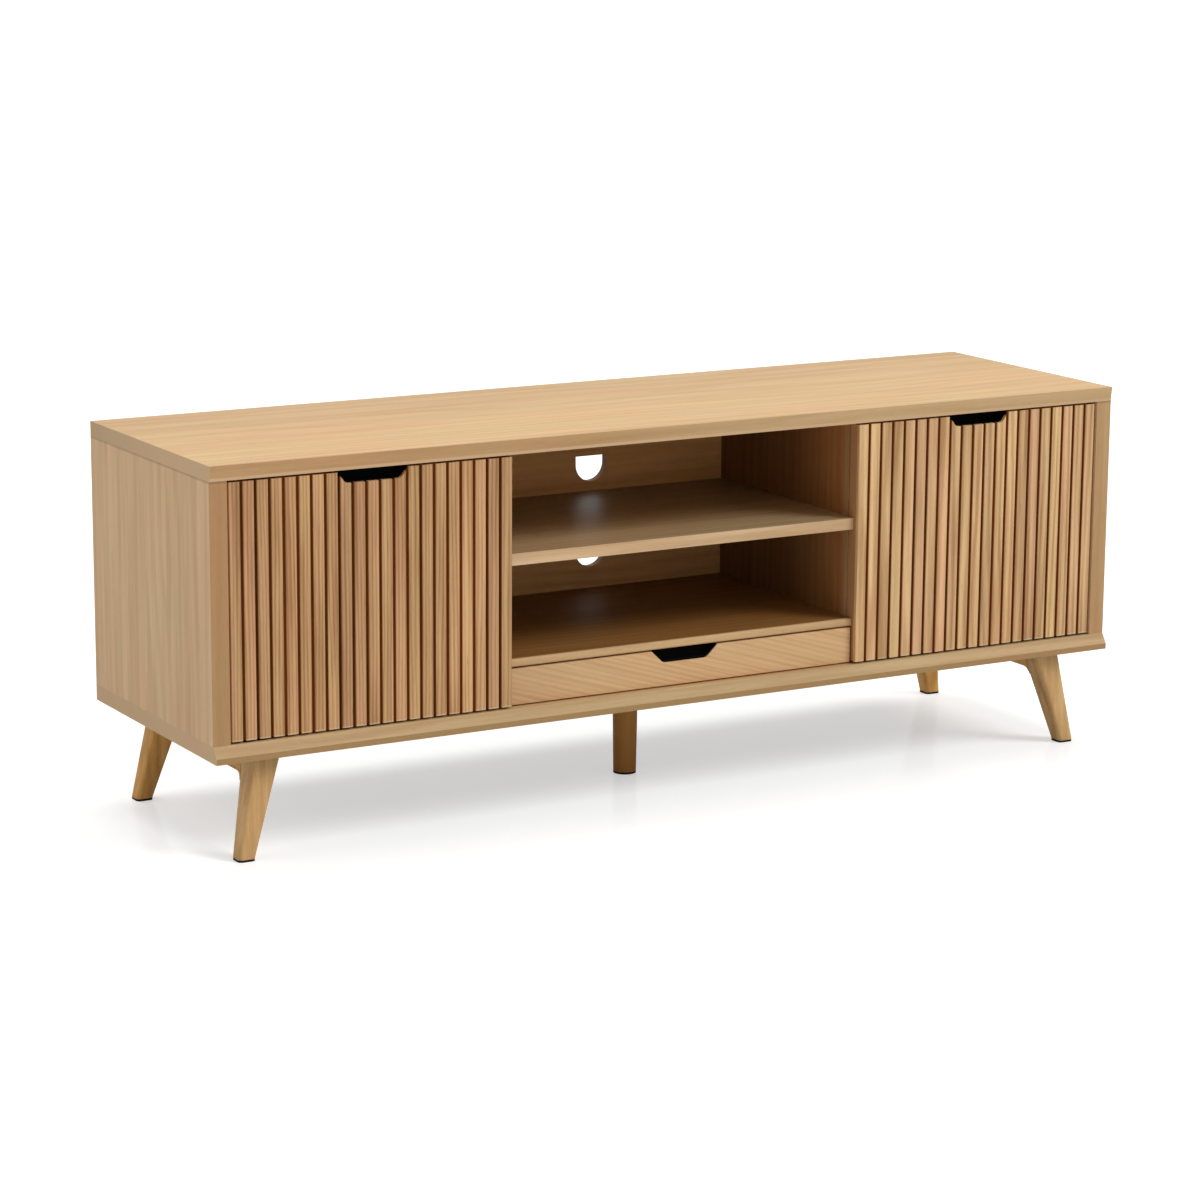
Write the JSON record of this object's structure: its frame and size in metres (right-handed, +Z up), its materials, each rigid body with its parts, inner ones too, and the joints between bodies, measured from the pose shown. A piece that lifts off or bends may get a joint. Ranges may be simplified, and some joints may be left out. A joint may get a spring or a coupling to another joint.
{
  "type": "media cabinet",
  "caption": "Long low wooden cabinet with slatted doors, an open bay over a shallow drawer, and splayed tapered legs.",
  "frame": {"origin": "middle of the floor plan of the bounding box, on the floor", "axes": "+X along the width towards the right when facing the doors, -Y towards the front, +Z up"},
  "size_m": [1.4, 0.4, 0.52],
  "materials": {
    "oak": "matt lacquer",
    "slat_oak": "matt lacquer",
    "leg_oak": "matt lacquer",
    "dark_stain": "dark stain",
    "pale_wood": "bare",
    "steel": "zinc plated",
    "nylon": "matt",
    "black_plastic": "matt"
  },
  "bodies": {
    "carcass": {"top_board": "oak", "bottom_board": "oak", "left_side": "oak", "right_side": "oak", "left_divider": "oak", "right_divider": "oak", "divider_lippings": "oak", "bay_shelf": "oak", "bay_floor": "oak", "back_panel": "oak", "left_cupboard_shelf": "oak", "right_cupboard_shelf": "oak", "shelf_pins": "steel", "board_dowels": "pale_wood", "shelf_dowels": "pale_wood", "cam_bolts": "steel", "cam_locks": "steel", "hinge_plates": "steel", "hinge_pins": "steel", "hinge_washers": "nylon", "plate_screws": "steel", "door_catches": "black_plastic", "left_runner": "oak", "right_runner": "oak", "runner_screws": "steel", "left_leg_rail": "leg_oak", "right_leg_rail": "leg_oak", "front_left_leg": "leg_oak", "front_right_leg": "leg_oak", "back_left_leg": "leg_oak", "back_right_leg": "leg_oak", "centre_leg": "leg_oak", "leg_bolts": "steel", "rail_screws": "steel", "corner_glides": "black_plastic", "centre_glide": "black_plastic"},
    "left_door": {"left_door_panel": "dark_stain", "left_door_slats": "slat_oak", "left_door_cup": "black_plastic", "left_hinge_leaves": "steel", "left_leaf_screws": "steel", "left_strike_plate": "steel"},
    "right_door": {"right_door_panel": "dark_stain", "right_door_slats": "slat_oak", "right_door_cup": "black_plastic", "right_hinge_leaves": "steel", "right_leaf_screws": "steel", "right_strike_plate": "steel"},
    "drawer": {"drawer_front": "oak", "drawer_cup": "black_plastic", "drawer_left_side": "pale_wood", "drawer_right_side": "pale_wood", "drawer_back": "pale_wood", "drawer_bottom": "pale_wood", "drawer_dowels": "pale_wood"}
  },
  "joints": [
    {"name": "left_door_hinge", "type": "hinge", "parent": "carcass", "child": "left_door", "pos_m": [-0.65935, -0.18, 0.331], "axis": [0, 0, -1], "range_deg": [0, 105]},
    {"name": "right_door_hinge", "type": "hinge", "parent": "carcass", "child": "right_door", "pos_m": [0.65935, -0.18, 0.331], "axis": [0, 0, 1], "range_deg": [0, 105]},
    {"name": "drawer_slide", "type": "slide", "parent": "carcass", "child": "drawer", "axis": [0, -1, 0], "range_m": [0, 0.22]}
  ]
}
